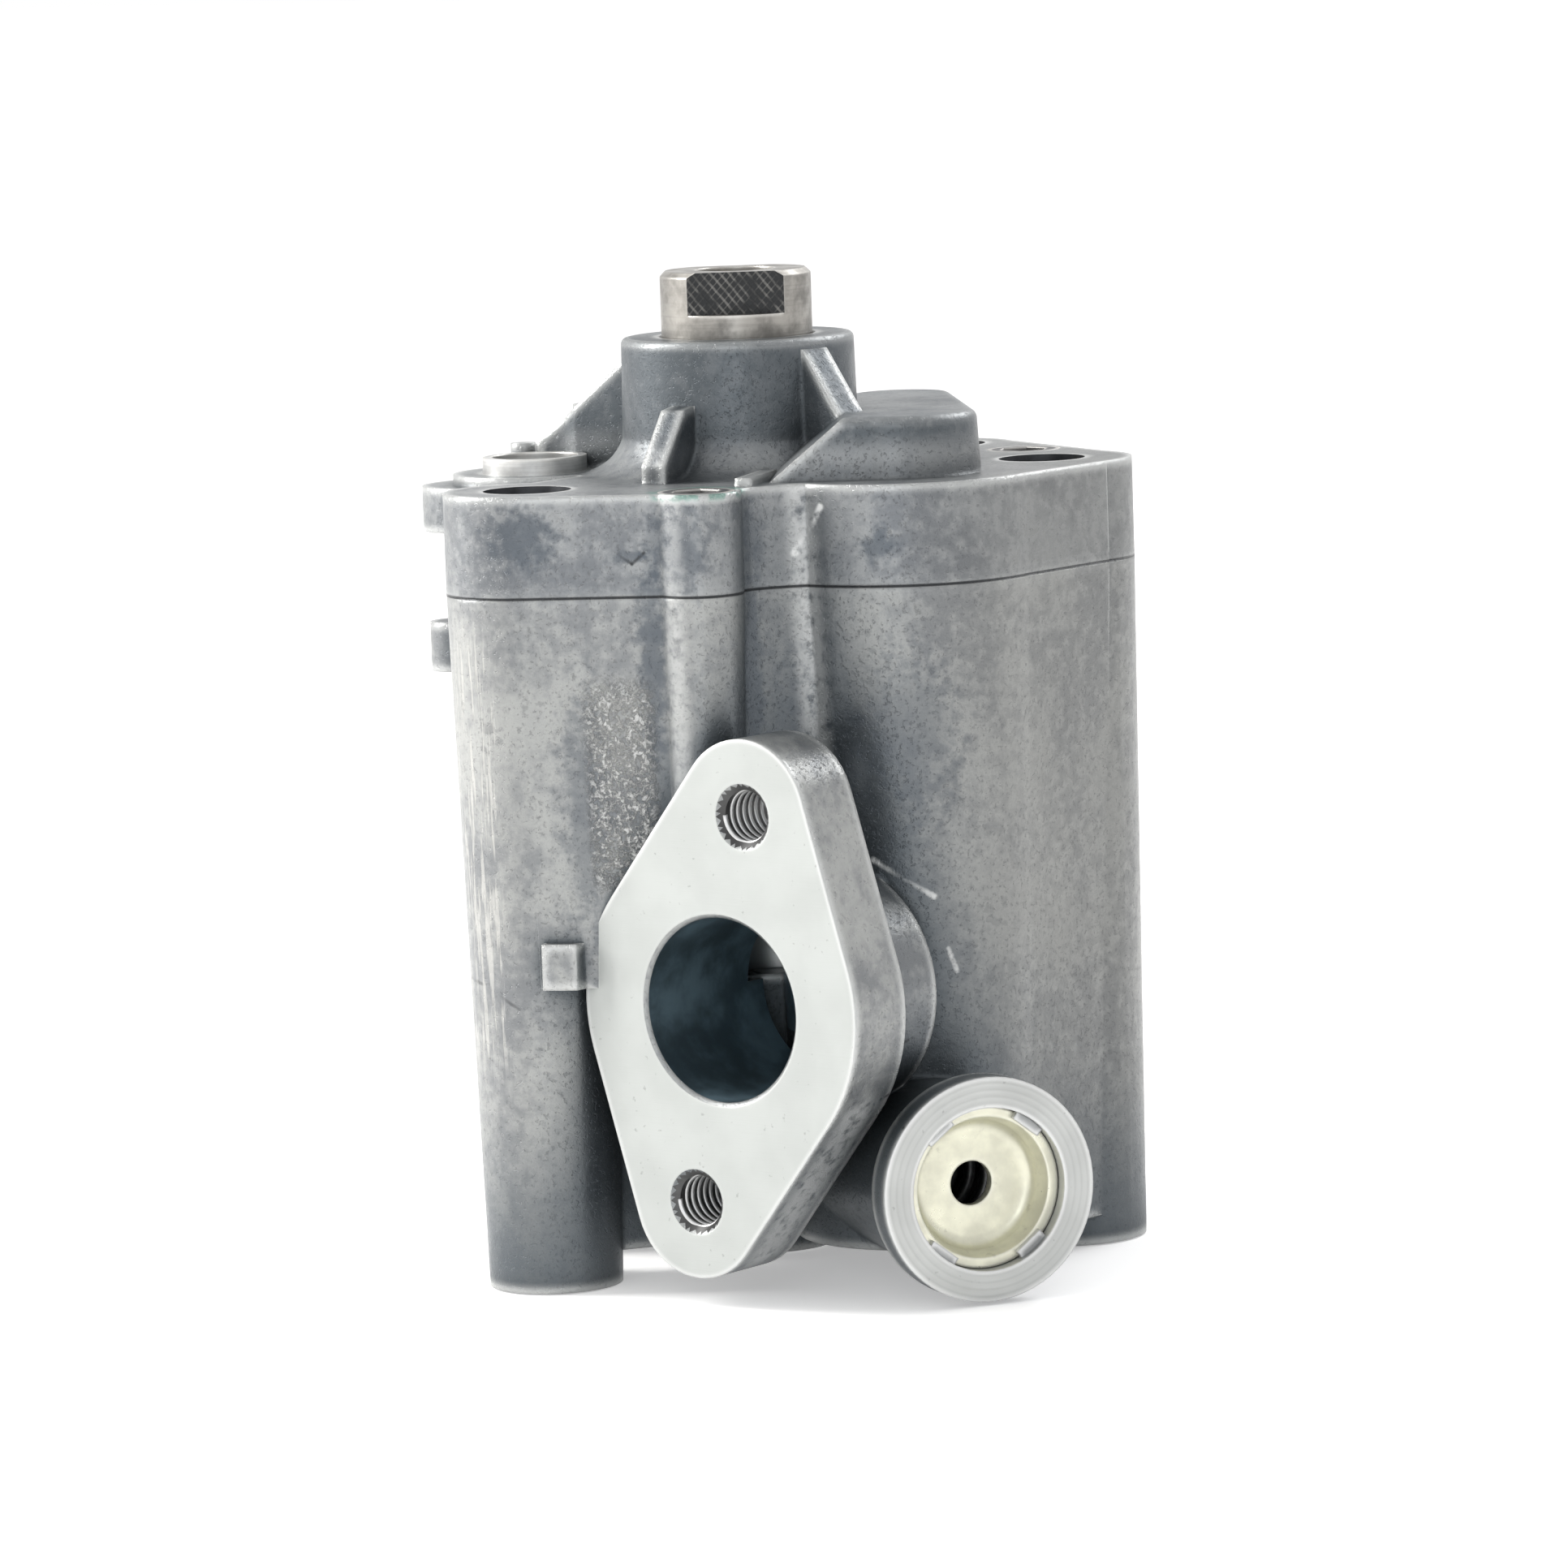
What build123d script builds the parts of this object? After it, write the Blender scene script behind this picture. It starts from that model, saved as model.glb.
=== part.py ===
"""Engine oil pump: two spur gears in a die-cast body, with a drive shaft, suction flange and relief valve.

Millimetres. Z runs up the drive shaft axis, +X points from the drive gear to the idler gear, and
-Y points out of the suction flange. The origin is on the drive shaft axis, in the plane of the feet.
"""

import os
from math import acos, cos, hypot, pi, radians, sin, tan

from build123d import *

# ---- driving dimensions -------------------------------------------------------------------------

# Levels up the drive shaft axis
foot_z = 0.0
core_floor_z = 4.0
bush_floor_z = 32.0
ledge_z = 40.5
chamber_floor_z = 46.0
joint_z = 91.5
cover_t = 13.2
cover_top_z = joint_z + cover_t
roof_z = 112.8
boss_top_z = 122.5
shaft_top_z = 131.2

# Draft of the castings: the right column is nearly straight
draft = 1.4
right_draft = 0.6

# Columns round the mounting bolts: centre, outer radius at the joint and draft
front_left = (-7.0, -36.4)
rear_left = (-25.0, -13.0)
rear = (4.5, 39.0)
right = (32.0, 24.0)
columns = (
    (front_left, 11.0, draft),
    (rear_left, 11.0, draft),
    (rear, 9.5, draft),
    (right, 12.0, right_draft),
)
bolt_hole_r = 5.75

# Gears
gear_module = 2.6
gear_teeth = 10
pressure_angle = 28.0
gear_centres = gear_module * gear_teeth
pitch_r = gear_centres / 2
gear_tip_r = pitch_r + 0.9 * gear_module
gear_root_r = pitch_r - 1.08 * gear_module
backlash = 0.10
chamber_r = gear_tip_r + 0.08
end_gap = 0.05
idler_xy = (gear_centres, 0.0)
gear_axes = ((0.0, 0.0), idler_xy)
root_sink = 0.3
lobe_r = 18.5

# Shafts and bushes
drive_journal_r = 10.05
small_journal_r = 7.0
running_gap = 0.025
drive_bush_r = 11.8
small_bush_r = 8.75
bush_l = 13.8
boss_r = 15.45
boss_foot_r = 15.85
boss_draft = 1.2
cove_r = 6.5
shaft_clearance = 0.4
journal_z = joint_z + 0.5
idler_pocket_top_z = 107.5
shaft_end_gap = 1.0
flat_half = 7.75
flat_depth = 5.6
flat_bearing = -52.0
end_recess_r = 5.2
end_recess_depth = 2.2
shaft_chamfer = 0.7
edge_break = 0.5

# Key and retaining ring of the drive gear
key_w = 4.0
key_h = 3.0
key_in_hub = 1.2
key_l = 24.0
key_end_r = 1.99
key_z = 70.0
ring_t = 1.2
ring_r = 9.0
ring_groove_r = 6.3
ring_seat_r = 9.2
ring_lift = 0.1
ring_opening = 4.5
groove_over = 1.0

# Ribs of the shaft boss: bearing, thickness, and top, shoulder and toe as reach and height
left_rib = (-170.0, 4.0, ((12.0, 121.2), (15.5, 119.8), (30.3, 107.8)))
front_rib = (-80.0, 3.4, ((12.0, 114.6), (18.6, 113.8), (24.5, 107.0)))
roof_rib = (-11.5, 4.4, ((12.0, 121.3), (15.6, 121.0), (22.5, 112.6)))
rib_sink = 0.5
ridge_start = (14.0, -12.0)
ridge_end = (19.0, -24.0)
ridge_w = 2.2
ridge_h = 1.1

# Roof over the idler bearing, pads and ear of the cover
roof_r = 11.0
roof_rear_xy = (7.5, 25.5)
roof_rear_r = 7.5
roof_front_start = (14.8, -14.1)
roof_front_end = (28.6, -3.3)
roof_front_w = 12.4
roof_slope_bearing = 38.0
roof_slope_foot = 3.6
roof_slope_rise = 39.3
roof_slope_over = 20.0
roof_draft = 3.0
roof_fillet = 1.2
boss_fillet = 0.8
rear_pad_xy = (-23.5, 0.5)
rear_pad_r = 4.8
toe_pad_xy = (-31.9, -7.0)
toe_pad_r = 1.7
toe_pad_h = 3.2
ear_xy = (-30.2, -17.2)
ear_r = 8.5
ear_z = 97.3
ear_t = 6.0

# Cover screws and locating pins
screw_points = ((16.8, -31.0), (-11.5, 19.5), (21.0, 35.0))
screw_boss_r = 5.8
screw_r = 3.0
screw_head_r = 5.0
screw_head_angle = 90.0
screw_l = 25.0
socket_r = 3.3
socket_depth = 3.0
screw_run_out = 2.0
pin_points = ((-8.0, -22.0), (14.5, 29.5))
pin_r = 2.5
pin_l = 12.0
sleeve_r = 7.0
sleeve_l = 10.0
sleeve_stand = 2.1

# Small features of the body
foot_pad_r = 9.0
foot_pad_sink = 1.0
web_end = (8.0, -12.0)
web_w = 7.0
lug_xy = (-33.0, -20.3)
lug_r = 4.0
lug_z = 78.5
lug_t = 6.6
shelf = ((0.0, -45.4), (4.0, -43.2), (4.0, -38.0), (-2.0, -41.5))
shelf_t = 6.0

# Suction flange: a rounded lozenge, leaning over by its roll
flange_face_y = -40.5
flange_centre = (25.2, 38.9)
flange_roll = 10.8
flange_spacing = 51.5
flange_tip_r = 10.0
flange_waist_r = 22.0
flange_t = 10.5
suction_r = 12.0
suction_chamfer = 0.5
neck_r = 16.5
suction_depth = 24.5
throat_r = 9.0
throat_depth = 30.0
m8_core_r = 3.4
m8_chamfer = 0.9
m8_depth = 12.0

# Pressure outlet on the rear wall
outlet_xy = (22.6, 43.4)
outlet_z = 66.0
outlet_bearing = 68.0
outlet_r = 7.0
outlet_depth = 28.0
outlet_boss_r = 14.0
outlet_boss_t = 9.0
seal_seat_r = 10.5
seal_seat_depth = 2.4

# Relief valve: a level bore under the gears that opens at the right front
relief_end = (53.5, -21.7)
relief_z = 14.9
relief_bearing = -30.0
relief_collar_r = 14.6
relief_collar_l = 4.3
relief_barrel_r = 12.0
relief_length = 74.0
relief_bore_r = 8.8
relief_depth = 50.0
relief_seat_r = 6.5
relief_seat_depth = 60.0

# Spring cup, staked into the mouth of the relief bore
mouth_r = 10.6
cup_recess = 2.0
cup_floor_depth = 5.9
cup_wall = 1.2
cup_rim_r = 10.5
cup_skirt_r = 9.7
cup_hole_r = 2.9
cup_rim_depth = 3.1
cup_skirt_depth = 3.4
cup_mouth_r = 9.2
cup_neck = (4.2, 8.5)
cup_bend = (5.4, 8.0)
cup_dish_r = 6.8
stake_angles = (38.0, 142.0, 218.0, 322.0)
stake_w = 4.2
stake_reach = 1.4
stake_t = 0.9
stake_root = 0.2

# Piston and spring
piston_gap = 0.03
piston_l = 22.0
piston_wall = 1.4
piston_floor = 3.0
spring_wire_r = 0.9
spring_coil_r = 5.9
spring_turns = 7
shim_t = 1.0
shim_r = 8.4
shim_hole_r = 3.2

# Passages between the chamber and the relief bore
pocket_r = 6.4
pocket_y = 12.8
pocket_top_z = 86.0
feed_xy = (8.3, 12.2)
feed_r = 3.5
spill_xy = (13.5, -5.0)
spill_r = 3.6
plug_z = 4.2
plug_l = 5.0


# ---- planes -------------------------------------------------------------------------------------


def level(z):
    """Horizontal plane at height z."""
    return Plane.XY.offset(z)


def upright(bearing):
    """Upright plane through the drive axis: local X runs outwards at the bearing, local Y up."""
    angle = radians(bearing)
    return Plane(origin=(0, 0, 0), x_dir=(cos(angle), sin(angle), 0), z_dir=(sin(angle), -cos(angle), 0))


def facing(bearing):
    """Level direction at a bearing from +X."""
    return Vector(cos(radians(bearing)), sin(radians(bearing)), 0)


def relief_plane(depth):
    """Plane across the relief bore, at a depth from its open end, facing outwards."""
    way = facing(relief_bearing)
    return Plane(origin=Vector(*relief_end, relief_z) - way * depth, x_dir=(0, 0, 1), z_dir=way)


outlet_face = Plane(origin=(*outlet_xy, outlet_z), x_dir=(0, 0, 1), z_dir=facing(outlet_bearing))
flange_face = Plane(
    origin=(flange_centre[0], flange_face_y, flange_centre[1]),
    x_dir=(sin(radians(flange_roll)), 0, cos(radians(flange_roll))),
    z_dir=(0, -1, 0),
)
flange_bolts = ((flange_spacing / 2, 0), (-flange_spacing / 2, 0))
suction_pocket = (pitch_r, -pocket_y)
pressure_pocket = (pitch_r, pocket_y)


# ---- shapes shared by the castings ----------------------------------------------------------------


def disc(centre, radius, plane, height, taper=0.0):
    """Adds a round block on a plane, drafted inwards by taper."""
    with BuildSketch(plane) as profile:
        with Locations(centre):
            Circle(radius)
    extrude(profile.sketch, amount=height, taper=taper)


def block(points, plane, height, taper=0.0):
    """Adds a straight-sided block with the given corners."""
    with BuildSketch(plane) as profile:
        with BuildLine():
            Polyline(*points, close=True)
        make_face()
    extrude(profile.sketch, amount=height, taper=taper)


def rib(bearing, thickness, profile):
    """Adds a sloped rib that runs outwards from the shaft boss."""
    top, shoulder, toe = profile
    foot = cover_top_z - rib_sink
    with BuildSketch(upright(bearing)) as side_view:
        with BuildLine():
            Polyline((top[0], foot), top, shoulder, toe, (toe[0], foot), close=True)
        make_face()
    extrude(side_view.sketch, amount=thickness / 2, both=True)


def bore(centre, radius, plane, depth):
    """Drills straight in from a plane."""
    with BuildSketch(plane) as profile:
        with Locations(centre):
            Circle(radius)
    extrude(profile.sketch, amount=-depth, mode=Mode.SUBTRACT)


def strip(start, end, width):
    """Corners of a straight strip from one point to another."""
    length = hypot(end[0] - start[0], end[1] - start[1])
    side_x = -(end[1] - start[1]) / length * width / 2
    side_y = (end[0] - start[0]) / length * width / 2
    return (
        (start[0] - side_x, start[1] - side_y),
        (end[0] - side_x, end[1] - side_y),
        (end[0] + side_x, end[1] + side_y),
        (start[0] + side_x, start[1] + side_y),
    )


front_wall = ((-1.5, -45.9), (13.5, -37.2), (20.0, -33.5), (21.5, -14.0), (-14.0, -12.0), (-13.5, -30.0))
right_wall = ((26.0, -16.0), (39.5, -9.5), (44.2, -2.5), (44.0, 22.0), (26.0, 22.0))
rear_wall = ((36.2, 34.8), (8.1, 47.5), (-2.0, 31.0), (-8.0, 12.0), (25.0, 8.0))
rear_left_wall = ((-33.0, -7.0), (-27.5, -19.0), (-10.0, -16.0), (0.0, 0.0), (-13.0, 12.0), (-25.0, 4.5))

# The cove between the front screw boss and the idler lobe: points of its arc, then of the corner it fills
cove_arc = ((20.3, -30.0), (22.0, -21.8), (28.0, -16.5))
cove_corner = (cove_arc[2], (20.0, -10.0), (18.0, -30.0), cove_arc[0])


def casting_outline(plane, height, taper, front_height):
    """The outline that body and cover share at their joint: gear lobes, columns and the walls between."""
    block(front_wall, plane, front_height, taper)
    for wall in (right_wall, rear_wall, rear_left_wall):
        block(wall, plane, height, taper)
    for centre in gear_axes:
        disc(centre, lobe_r, plane, height, taper)
    for centre in screw_points:
        disc(centre, screw_boss_r, plane, front_height, taper)
    with BuildSketch(plane) as cove:
        with BuildLine():
            ThreePointArc(*cove_arc)
            Polyline(*cove_corner)
        make_face()
    extrude(cove.sketch, amount=front_height)


os.makedirs("parts", exist_ok=True)


# ---- pump body --------------------------------------------------------------------------------------

with BuildPart() as pump_body:
    # Outer form, drafted inwards from the joint down; the front wall stops at a ledge
    casting_outline(level(joint_z), core_floor_z - joint_z, draft, ledge_z - joint_z)
    for centre, radius, column_draft in columns:
        disc(centre, radius, level(joint_z), foot_z - joint_z, column_draft)
    disc((0, 0), foot_pad_r, level(core_floor_z + foot_pad_sink), foot_z - core_floor_z - foot_pad_sink)
    block(strip(front_left, web_end, web_w), level(core_floor_z), ledge_z - core_floor_z)
    disc(lug_xy, lug_r, level(lug_z), lug_t)
    block(shelf, level(ledge_z), shelf_t)

    # Suction flange and its neck
    with BuildSketch(flange_face):
        Circle(flange_waist_r)
        with Locations(*flange_bolts):
            Circle(flange_tip_r)
        make_hull()
    extrude(amount=-flange_t)
    disc((0, 0), neck_r, flange_face, -suction_depth)

    # Relief tube with its end collar, and the outlet boss on the rear wall
    disc((0, 0), relief_barrel_r, relief_plane(0), -relief_length)
    disc((0, 0), relief_collar_r, relief_plane(0), -relief_collar_l)
    disc((0, 0), outlet_boss_r, outlet_face, -outlet_boss_t)

    # Gear chamber, bush bores, and the pockets on either side of the mesh
    for centre in gear_axes:
        bore(centre, chamber_r, level(joint_z), joint_z - chamber_floor_z)
        bore(centre, small_bush_r, level(chamber_floor_z), chamber_floor_z - bush_floor_z)
    bore(suction_pocket, pocket_r, level(pocket_top_z), pocket_top_z - flange_centre[1])
    bore(pressure_pocket, pocket_r, level(pocket_top_z), pocket_top_z - chamber_floor_z)

    # Suction port with its narrower throat, and the core holes of the two threads
    bore((0, 0), suction_r, flange_face, suction_depth)
    bore((0, 0), throat_r, flange_face, throat_depth)
    for centre in flange_bolts:
        bore(centre, m8_core_r, flange_face, m8_depth)
    front_face = pump_body.faces().filter_by(Axis.Y).sort_by(Axis.Y)[0]
    flange_mouths = front_face.inner_wires().sort_by(SortBy.LENGTH)
    chamfer(flange_mouths[-1].edges(), length=suction_chamfer)
    chamfer(flange_mouths[0].edges() + flange_mouths[1].edges(), length=m8_chamfer)

    # Pressure outlet with its seal seat
    bore((0, 0), outlet_r, outlet_face, outlet_depth)
    bore((0, 0), seal_seat_r, outlet_face, seal_seat_depth)

    # Relief bore: mouth for the cup, piston bore, seat, and two drillings from the chamber
    bore((0, 0), mouth_r, relief_plane(0), cup_floor_depth + cup_wall)
    bore((0, 0), relief_bore_r, relief_plane(0), relief_depth)
    bore((0, 0), relief_seat_r, relief_plane(0), relief_seat_depth)
    bore(feed_xy, feed_r, level(chamber_floor_z), chamber_floor_z)
    bore(spill_xy, spill_r, level(chamber_floor_z), chamber_floor_z - relief_z)

    # Tabs of metal staked over the rim of the cup
    with BuildSketch(relief_plane(cup_recess)):
        for angle in stake_angles:
            with PolarLocations(mouth_r - stake_reach / 2 + stake_root, 1, start_angle=angle):
                Rectangle(stake_reach, stake_w)
    extrude(amount=stake_t)

    # Through holes for the mounting bolts, blind holes for cover screws and pins
    for centre, radius, column_draft in columns:
        bore(centre, bolt_hole_r, level(joint_z), joint_z)
    for centre in screw_points:
        bore(centre, screw_r, level(joint_z), screw_l - cover_t + screw_run_out)
    for centre in pin_points:
        bore(centre, pin_r, level(joint_z), pin_l / 2)

pump_body.part.label = "pump_body"
export_step(pump_body.part, "parts/pump_body.step")


# ---- pump cover -------------------------------------------------------------------------------------

with BuildPart() as pump_cover:
    casting_outline(level(joint_z), cover_t, 0.0, cover_t)
    for centre, radius, column_draft in columns:
        disc(centre, radius, level(joint_z), cover_t)
    disc(ear_xy, ear_r, level(ear_z), ear_t)

    # Roof over the idler bearing, running back over the pressure pocket, with a flat front and a sloped end
    with BuildSketch(level(cover_top_z)):
        with Locations(idler_xy):
            Circle(roof_r)
        with Locations(roof_rear_xy):
            Circle(roof_rear_r)
        make_hull()
    extrude(amount=roof_z - cover_top_z, taper=roof_draft)
    roof_front = strip(roof_front_start, roof_front_end, roof_front_w)
    block(roof_front, level(cover_top_z), roof_z - cover_top_z, roof_draft)
    slope_top_z = cover_top_z + 2 * (roof_z - cover_top_z)
    slope_top = roof_slope_foot + (slope_top_z - cover_top_z) / tan(radians(roof_slope_rise))
    with BuildSketch(upright(roof_slope_bearing)):
        with BuildLine():
            Polyline(
                (roof_slope_foot, cover_top_z),
                (slope_top, slope_top_z),
                (-roof_slope_over, slope_top_z),
                (-roof_slope_over, cover_top_z),
                close=True,
            )
        make_face()
    extrude(amount=2 * roof_slope_over, both=True, mode=Mode.SUBTRACT)
    fillet(pump_cover.faces().sort_by(Axis.Z)[-1].edges(), radius=roof_fillet)

    # Shaft boss with a coved foot, and the pads behind the left rib and at its toe
    disc((0, 0), boss_foot_r, level(cover_top_z), boss_top_z - cover_top_z, boss_draft)
    fillet(pump_cover.faces().sort_by(Axis.Z)[-1].edges(), radius=boss_fillet)
    with BuildSketch(upright(0)):
        with BuildLine():
            RadiusArc((boss_r + cove_r, cover_top_z), (boss_r, cover_top_z + cove_r), cove_r)
            Polyline((boss_r, cover_top_z + cove_r), (0, cover_top_z + cove_r), (0, cover_top_z))
            Line((0, cover_top_z), (boss_r + cove_r, cover_top_z))
        make_face()
    revolve(axis=Axis.Z)
    disc(rear_pad_xy, rear_pad_r, level(cover_top_z), roof_z - cover_top_z, roof_draft)
    disc(toe_pad_xy, toe_pad_r, level(cover_top_z), toe_pad_h)

    # Ribs from the boss to the left, to the front and to the roof, and the low ridge at the front
    for bearing, thickness, profile in (left_rib, front_rib, roof_rib):
        rib(bearing, thickness, profile)
    block(strip(ridge_start, ridge_end, ridge_w), level(cover_top_z), ridge_h, roof_draft)

    # Bores for the drive shaft and the two upper bushes
    bore((0, 0), drive_bush_r, level(joint_z + bush_l), bush_l)
    bore((0, 0), drive_journal_r + shaft_clearance, level(boss_top_z), boss_top_z - joint_z)
    bore(idler_xy, small_bush_r, level(idler_pocket_top_z), idler_pocket_top_z - joint_z)

    # Holes for mounting bolts, sleeve, screws and pins
    for centre, radius, column_draft in columns:
        bore(centre, bolt_hole_r, level(roof_z), roof_z - joint_z)
    bore(rear_left, sleeve_r, level(roof_z), roof_z - cover_top_z - sleeve_stand + sleeve_l)
    for centre in screw_points:
        bore(centre, screw_r, level(roof_z), roof_z - joint_z)
        bore(centre, screw_head_r, level(roof_z), roof_z - cover_top_z)
    with Locations(*[(x, y, cover_top_z) for x, y in screw_points]):
        CounterSinkHole(screw_r, screw_head_r, depth=cover_t, counter_sink_angle=screw_head_angle)
    for centre in pin_points:
        bore(centre, pin_r, level(joint_z + pin_l / 2), pin_l / 2)

pump_cover.part.label = "pump_cover"
export_step(pump_cover.part, "parts/pump_cover.step")


# ---- shafts -----------------------------------------------------------------------------------------

key_middle = small_journal_r + key_in_hub - key_h / 2
ring_z = chamber_floor_z + end_gap + ring_lift

with BuildPart() as drive_shaft:
    # Journal with its end chamfer, and the smaller seat for the gear and the lower bush
    disc((0, 0), drive_journal_r, level(journal_z), shaft_top_z - journal_z)
    chamfer(drive_shaft.faces().sort_by(Axis.Z)[-1].edges(), length=shaft_chamfer)
    disc((0, 0), small_journal_r, level(journal_z), bush_floor_z + shaft_end_gap - journal_z)

    # Two flats for the drive coupling, and the recess in the end face
    with BuildSketch(level(shaft_top_z)):
        with PolarLocations(flat_half + drive_journal_r / 2, 2, start_angle=flat_bearing):
            Rectangle(drive_journal_r, 3 * drive_journal_r)
    extrude(amount=-flat_depth, mode=Mode.SUBTRACT)
    bore((0, 0), end_recess_r, level(shaft_top_z), end_recess_depth)

    # Keyway and groove for the retaining ring
    with Locations((key_middle, 0, key_z)):
        Box(key_h, key_w, key_l, mode=Mode.SUBTRACT)
    with BuildSketch(level(ring_z)):
        Circle(small_journal_r + groove_over)
        Circle(ring_groove_r, mode=Mode.SUBTRACT)
    extrude(amount=ring_t, mode=Mode.SUBTRACT)

drive_shaft.part.label = "drive_shaft"
export_step(drive_shaft.part, "parts/drive_shaft.step")

with BuildPart() as idler_shaft:
    idler_shaft_z = bush_floor_z + shaft_end_gap
    disc(idler_xy, small_journal_r, level(idler_shaft_z), idler_pocket_top_z - shaft_end_gap - idler_shaft_z)
    chamfer(idler_shaft.edges().filter_by(GeomType.CIRCLE), length=shaft_chamfer)

idler_shaft.part.label = "idler_shaft"
export_step(idler_shaft.part, "parts/idler_shaft.step")


# ---- gears ------------------------------------------------------------------------------------------


def involute_point(radius, mid_angle, side):
    """Point of a tooth flank at a radius; side is +1 or -1 for the two flanks of one tooth."""
    base_r = pitch_r * cos(radians(pressure_angle))
    roll = acos(base_r / max(radius, base_r))
    pitch_roll = radians(pressure_angle)
    half = pi / (2 * gear_teeth) - backlash / (2 * pitch_r)
    half += (tan(pitch_roll) - pitch_roll) - (tan(roll) - roll)
    angle = mid_angle + side * half
    return (radius * cos(angle), radius * sin(angle))


def gear_blank(centre, turn):
    """Adds a spur gear with involute teeth; one tooth stands at the angle of turn."""
    base_r = pitch_r * cos(radians(pressure_angle))
    flank_radii = [base_r + (gear_tip_r - base_r) * step / 4 for step in range(5)]
    with BuildSketch(level(chamber_floor_z + end_gap)) as teeth:
        Circle(gear_root_r)
        for tooth in range(gear_teeth):
            mid = radians(turn) + 2 * pi * tooth / gear_teeth
            tip = (gear_tip_r * cos(mid), gear_tip_r * sin(mid))
            with BuildLine():
                up = Spline(*[involute_point(radius, mid, -1) for radius in flank_radii])
                down = Spline(*[involute_point(radius, mid, 1) for radius in reversed(flank_radii)])
                ThreePointArc(up @ 1, tip, down @ 0)
                root_start = (up @ 0) * ((gear_root_r - root_sink) / base_r)
                root_end = (down @ 1) * ((gear_root_r - root_sink) / base_r)
                Polyline(down @ 1, root_end, root_start, up @ 0)
            make_face()
    placed = teeth.sketch.moved(Location((*centre, 0)))
    extrude(placed, amount=joint_z - chamber_floor_z - 2 * end_gap)


with BuildPart() as drive_gear:
    gear_blank((0, 0), 0.0)
    bore((0, 0), small_journal_r, level(joint_z), joint_z - chamber_floor_z)
    bore((0, 0), ring_seat_r, level(ring_z + ring_t + ring_lift), ring_t + 3 * ring_lift)
    with Locations((key_middle, 0, joint_z / 2 + chamber_floor_z / 2)):
        Box(key_h, key_w, joint_z - chamber_floor_z, mode=Mode.SUBTRACT)

drive_gear.part.label = "drive_gear"
export_step(drive_gear.part, "parts/drive_gear.step")

with BuildPart() as idler_gear:
    gear_blank(idler_xy, 180.0 / gear_teeth)
    bore(idler_xy, small_journal_r, level(joint_z), joint_z - chamber_floor_z)

idler_gear.part.label = "idler_gear"
export_step(idler_gear.part, "parts/idler_gear.step")

with BuildPart() as drive_key:
    with Locations((key_middle, 0, key_z)):
        Box(key_h, key_w, key_l)
    fillet(drive_key.edges().filter_by(Axis.X), radius=key_end_r)

drive_key.part.label = "drive_key"
export_step(drive_key.part, "parts/drive_key.step")

with BuildPart() as drive_gear_ring:
    with BuildSketch(level(ring_z)):
        Circle(ring_r)
        Circle(ring_groove_r, mode=Mode.SUBTRACT)
        with Locations((-ring_r, 0)):
            Rectangle(ring_r, ring_opening, mode=Mode.SUBTRACT)
    extrude(amount=ring_t)

drive_gear_ring.part.label = "drive_gear_ring"
export_step(drive_gear_ring.part, "parts/drive_gear_ring.step")


# ---- bushes -----------------------------------------------------------------------------------------

with BuildPart() as drive_bush_upper:
    disc((0, 0), drive_bush_r, level(joint_z), bush_l)
    bore((0, 0), drive_journal_r + running_gap, level(joint_z + bush_l), bush_l)

drive_bush_upper.part.label = "drive_bush_upper"
export_step(drive_bush_upper.part, "parts/drive_bush_upper.step")

with BuildPart() as drive_bush_lower:
    disc((0, 0), small_bush_r, level(chamber_floor_z), -bush_l)
    bore((0, 0), small_journal_r + running_gap, level(chamber_floor_z), bush_l)

drive_bush_lower.part.label = "drive_bush_lower"
export_step(drive_bush_lower.part, "parts/drive_bush_lower.step")

with BuildPart() as idler_bush_upper:
    disc(idler_xy, small_bush_r, level(joint_z), bush_l)
    bore(idler_xy, small_journal_r + running_gap, level(joint_z + bush_l), bush_l)

idler_bush_upper.part.label = "idler_bush_upper"
export_step(idler_bush_upper.part, "parts/idler_bush_upper.step")

with BuildPart() as idler_bush_lower:
    disc(idler_xy, small_bush_r, level(chamber_floor_z), -bush_l)
    bore(idler_xy, small_journal_r + running_gap, level(chamber_floor_z), bush_l)

idler_bush_lower.part.label = "idler_bush_lower"
export_step(idler_bush_lower.part, "parts/idler_bush_lower.step")


# ---- sleeve, pins and screws ------------------------------------------------------------------------

with BuildPart() as locating_sleeve:
    disc(rear_left, sleeve_r, level(cover_top_z + sleeve_stand), -sleeve_l)
    bore(rear_left, bolt_hole_r, level(cover_top_z + sleeve_stand), sleeve_l)

locating_sleeve.part.label = "locating_sleeve"
export_step(locating_sleeve.part, "parts/locating_sleeve.step")

with BuildPart() as cover_pins:
    for centre in pin_points:
        disc(centre, pin_r, level(joint_z - pin_l / 2), pin_l)
    chamfer(cover_pins.edges().filter_by(GeomType.CIRCLE), length=edge_break)

cover_pins.part.label = "cover_pins"
export_step(cover_pins.part, "parts/cover_pins.step")

with BuildPart() as cover_screws:
    for centre in screw_points:
        disc(centre, screw_r, level(cover_top_z), -screw_l)
        with Locations((*centre, cover_top_z)):
            cone_h = screw_head_r - screw_r
            Cone(screw_r, screw_head_r, cone_h, align=(Align.CENTER, Align.CENTER, Align.MAX))
        with BuildSketch(level(cover_top_z)):
            with Locations(centre):
                RegularPolygon(socket_r, 6)
        extrude(amount=-socket_depth, mode=Mode.SUBTRACT)

cover_screws.part.label = "cover_screws"
export_step(cover_screws.part, "parts/cover_screws.step")

with BuildPart() as gallery_plug:
    disc(feed_xy, feed_r, level(plug_z), plug_l)

gallery_plug.part.label = "gallery_plug"
export_step(gallery_plug.part, "parts/gallery_plug.step")


# ---- relief valve -----------------------------------------------------------------------------------

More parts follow.
